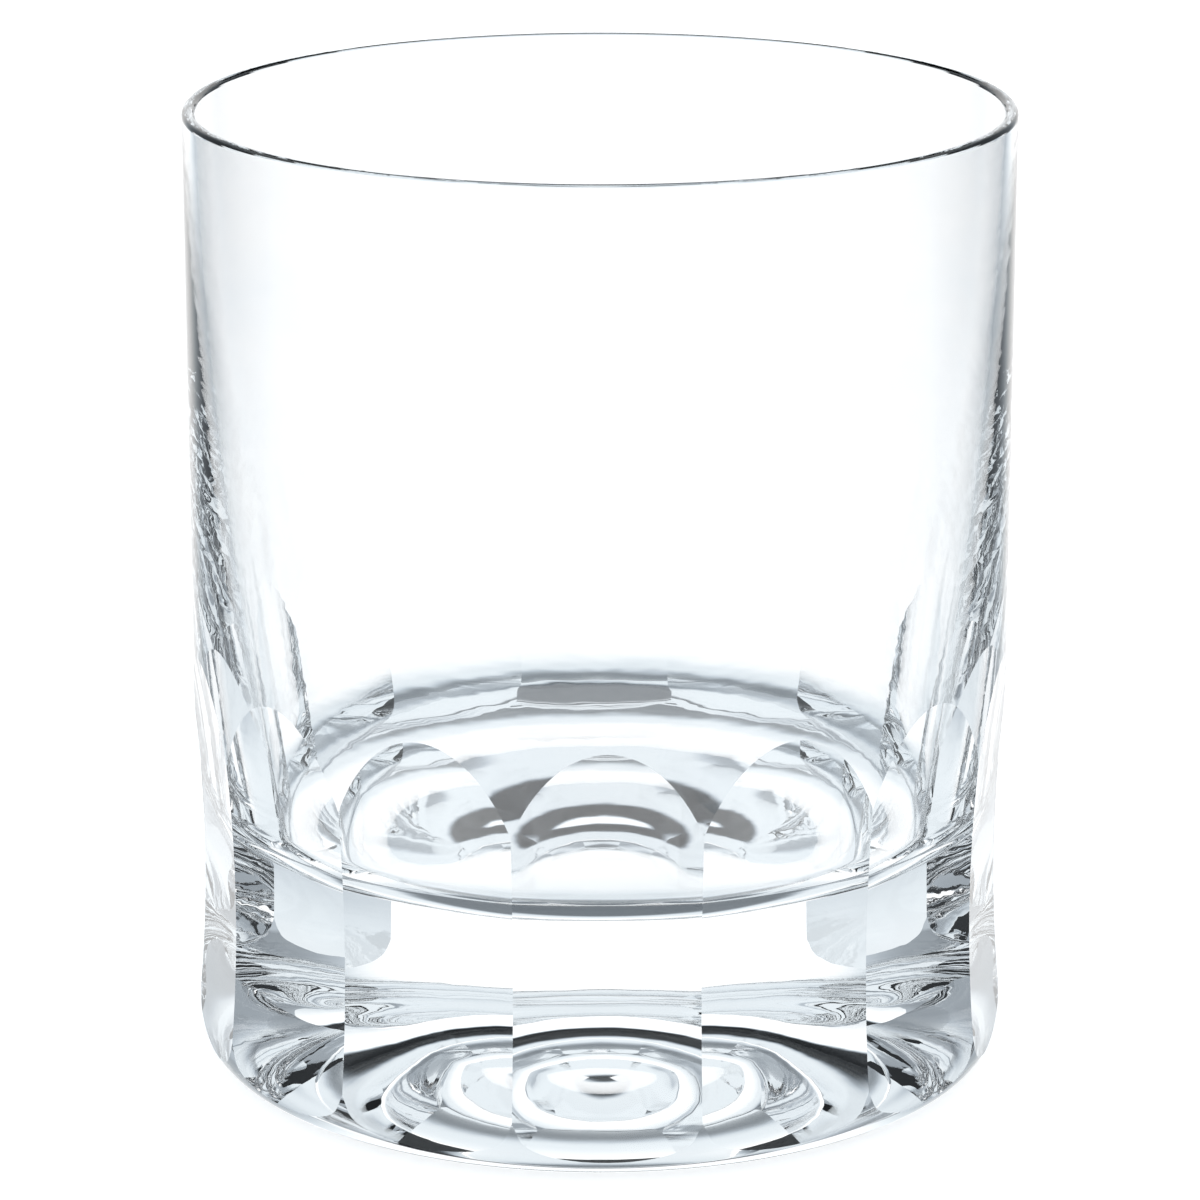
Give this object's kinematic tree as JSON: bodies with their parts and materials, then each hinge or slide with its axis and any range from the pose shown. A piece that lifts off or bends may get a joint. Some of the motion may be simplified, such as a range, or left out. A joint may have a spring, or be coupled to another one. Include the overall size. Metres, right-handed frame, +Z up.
{
  "type": "whiskey tumbler",
  "caption": "Straight round drinking tumbler of clear cut glass with a thick solid base, a thin rounded rim and tall arched panels cut round the base.",
  "frame": {"origin": "middle of the foot, on the surface that the tumbler stands on", "axes": "+Z up along the tumbler's axis, -Y towards the front, which is the middle of one cut panel, +X to the right"},
  "size_m": [0.082, 0.082, 0.0975],
  "materials": {
    "crystal": "clear colourless crystal, fire polished at the rim and acid polished on the cuts"
  },
  "bodies": {
    "root": {"glass_body": "crystal"}
  },
  "joints": []
}
